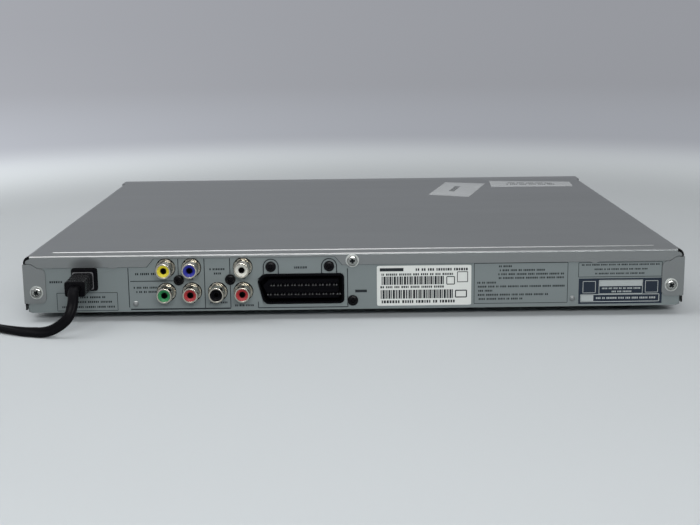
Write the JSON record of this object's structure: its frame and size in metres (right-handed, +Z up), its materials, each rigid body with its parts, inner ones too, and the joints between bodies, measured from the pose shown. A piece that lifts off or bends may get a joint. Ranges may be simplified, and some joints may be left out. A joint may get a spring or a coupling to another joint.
{
  "type": "disc player",
  "caption": "Flat home disc player with a motor tray, folded sheet cover, phono and television sockets at the rear, and a fixed mains lead",
  "frame": {"origin": "on the floor, below the middle of the player's case and sockets", "axes": "+Z up, +Y towards the rear sockets, +X to the left of somebody who looks at the sockets, along the longest side"},
  "size_m": [0.4912, 0.346, 0.0376],
  "materials": {
    "cover_paint": "satin powder coat",
    "panel_paint": "satin powder coat",
    "bezel_plastic": "satin lacquer",
    "key_plastic": "satin chrome lacquer",
    "window_glass": "smoked clear plastic",
    "display_dark": "dark glass tube",
    "board_green": "green lacquer",
    "board_brown": "paper laminate",
    "component_black": "moulded",
    "foot_plastic": "moulded",
    "pad_rubber": "matt",
    "screw_silver": "nickel plated",
    "screw_black": "black zinc",
    "jack_nickel": "nickel plated",
    "insert_yellow": "moulded",
    "insert_blue": "moulded",
    "insert_green": "moulded",
    "insert_red": "moulded",
    "insert_white": "moulded",
    "insert_black": "moulded",
    "housing_black": "moulded",
    "contact_metal": "plated",
    "bushing_black": "moulded",
    "loader_plastic": "moulded",
    "clamp_steel": "zinc plated",
    "gear_white": "moulded",
    "lens_glass": "coated",
    "belt_rubber": "matt",
    "wire_sleeve": "flat ribbon and cores",
    "lead_black": "matt",
    "pin_metal": "nickel plated",
    "tie_black": "woven band"
  },
  "bodies": {
    "case": {"top_cover": "cover_paint", "chassis_pan": "panel_paint", "front_bezel": "bezel_plastic", "display_window": "window_glass", "front_board": "board_green", "display_module": "display_dark", "tact_switches": "component_black", "feet": "foot_plastic", "foot_pads": "pad_rubber", "cover_screws": "screw_silver", "socket_screws": "screw_black", "rca_barrels": "jack_nickel", "rca_insert_yellow": "insert_yellow", "rca_insert_blue": "insert_blue", "rca_insert_green": "insert_green", "rca_insert_red": "insert_red", "rca_insert_white": "insert_white", "rca_insert_black": "insert_black", "jack_block_video": "housing_black", "jack_block_audio": "housing_black", "scart_shell": "housing_black", "scart_block": "housing_black", "scart_contacts": "contact_metal", "mains_bushing": "bushing_black", "loader_frame": "loader_plastic", "loader_screws": "screw_black", "clamp_bridge": "clamp_steel", "loading_motor": "clamp_steel", "drive_belt": "belt_rubber", "main_board": "board_green", "main_board_parts": "component_black", "power_board": "board_brown", "power_board_parts": "component_black", "inner_wiring": "wire_sleeve", "mains_lead": "lead_black", "lead_coil": "lead_black", "lead_tail": "lead_black", "wall_plug": "lead_black", "wall_plug_pins": "pin_metal", "lead_tie": "tie_black"},
    "tray": {"disc_tray": "loader_plastic", "tray_lid": "bezel_plastic"},
    "tray_gear": {"tray_gear": "gear_white"},
    "pulley_gear": {"pulley_gear": "gear_white"},
    "motor_pulley": {"motor_pulley": "gear_white"},
    "cam_slider": {"cam_slider": "gear_white"},
    "traverse": {"traverse_frame": "loader_plastic", "guide_rods": "clamp_steel", "spindle_motor": "clamp_steel", "sled_motor": "clamp_steel"},
    "turntable": {"turntable": "loader_plastic"},
    "clamp_puck": {"clamp_puck": "gear_white"},
    "sled": {"pickup_sled": "loader_plastic", "pickup_lens": "lens_glass"},
    "sled_gear": {"sled_gear": "gear_white"},
    "sled_pinion": {"sled_pinion": "gear_white"},
    "open_key": {"button_open": "key_plastic"},
    "play_key": {"button_play": "key_plastic"},
    "stop_key": {"button_stop": "key_plastic"},
    "power_key": {"button_power": "key_plastic"}
  },
  "joints": [
    {"name": "tray_slide", "type": "slide", "parent": "case", "child": "tray", "axis": [0, -1, 0], "range_m": [0, 0.14]},
    {"name": "tray_gear_spin", "type": "hinge", "parent": "case", "child": "tray_gear", "pos_m": [-0.005, -0.13, 0.018], "axis": [0, 0, 1], "range_deg": [-802.19, 0]},
    {"name": "pulley_gear_spin", "type": "hinge", "parent": "case", "child": "pulley_gear", "pos_m": [-0.0275, -0.13, 0.018], "axis": [0, 0, 1], "range_deg": [0, 1604.33]},
    {"name": "motor_pulley_spin", "type": "hinge", "parent": "case", "child": "motor_pulley", "pos_m": [-0.067, -0.13, 0.018], "axis": [0, 0, 1], "range_deg": [0, 3703.76]},
    {"name": "cam_slide", "type": "slide", "parent": "case", "child": "cam_slider", "axis": [1, 0, 0], "range_m": [0, 0.014]},
    {"name": "traverse_tilt", "type": "hinge", "parent": "case", "child": "traverse", "pos_m": [-0.045, 0.028, 0.016], "axis": [1, 0, 0], "range_deg": [0, 2.5]},
    {"name": "turntable_spin", "type": "hinge", "parent": "traverse", "child": "turntable", "pos_m": [-0.045, -0.0825, 0.02], "axis": [0, 0, 1], "continuous": true},
    {"name": "clamp_puck_spin", "type": "hinge", "parent": "case", "child": "clamp_puck", "pos_m": [-0.045, -0.0825, 0.029], "axis": [0, 0, 1], "continuous": true},
    {"name": "sled_slide", "type": "slide", "parent": "traverse", "child": "sled", "axis": [0, 1, 0], "range_m": [0, 0.036]},
    {"name": "sled_gear_spin", "type": "hinge", "parent": "traverse", "child": "sled_gear", "pos_m": [-0.0762, -0.028, 0.016], "axis": [0, 0, 1], "range_deg": [0, 573.01]},
    {"name": "sled_pinion_spin", "type": "hinge", "parent": "traverse", "child": "sled_pinion", "pos_m": [-0.0791, -0.01885, 0.017], "axis": [0, 0, 1], "range_deg": [-954.98, 0]},
    {"name": "open_press", "type": "slide", "parent": "case", "child": "open_key", "axis": [0, 1, 0], "range_m": [0, 0.0005], "stiffness_N_per_m": 500},
    {"name": "play_press", "type": "slide", "parent": "case", "child": "play_key", "axis": [0, 1, 0], "range_m": [0, 0.0005], "stiffness_N_per_m": 500},
    {"name": "stop_press", "type": "slide", "parent": "case", "child": "stop_key", "axis": [0, 1, 0], "range_m": [0, 0.0005], "stiffness_N_per_m": 500},
    {"name": "power_press", "type": "slide", "parent": "case", "child": "power_key", "axis": [0, 1, 0], "range_m": [0, 0.0005], "stiffness_N_per_m": 500}
  ],
  "couplings": [
    {"joint": "tray_gear_spin", "follows": "tray_slide", "rad_per_m": -100},
    {"joint": "pulley_gear_spin", "follows": "tray_slide", "rad_per_m": 200},
    {"joint": "motor_pulley_spin", "follows": "tray_slide", "rad_per_m": 461.73},
    {"joint": "cam_slide", "follows": "tray_slide", "ratio": 0.1},
    {"joint": "traverse_tilt", "follows": "tray_slide", "rad_per_m": 0.31166},
    {"joint": "clamp_puck_spin", "follows": "turntable_spin", "ratio": 1},
    {"joint": "sled_gear_spin", "follows": "sled_slide", "rad_per_m": 277.78},
    {"joint": "sled_pinion_spin", "follows": "sled_slide", "rad_per_m": -462.96}
  ]
}
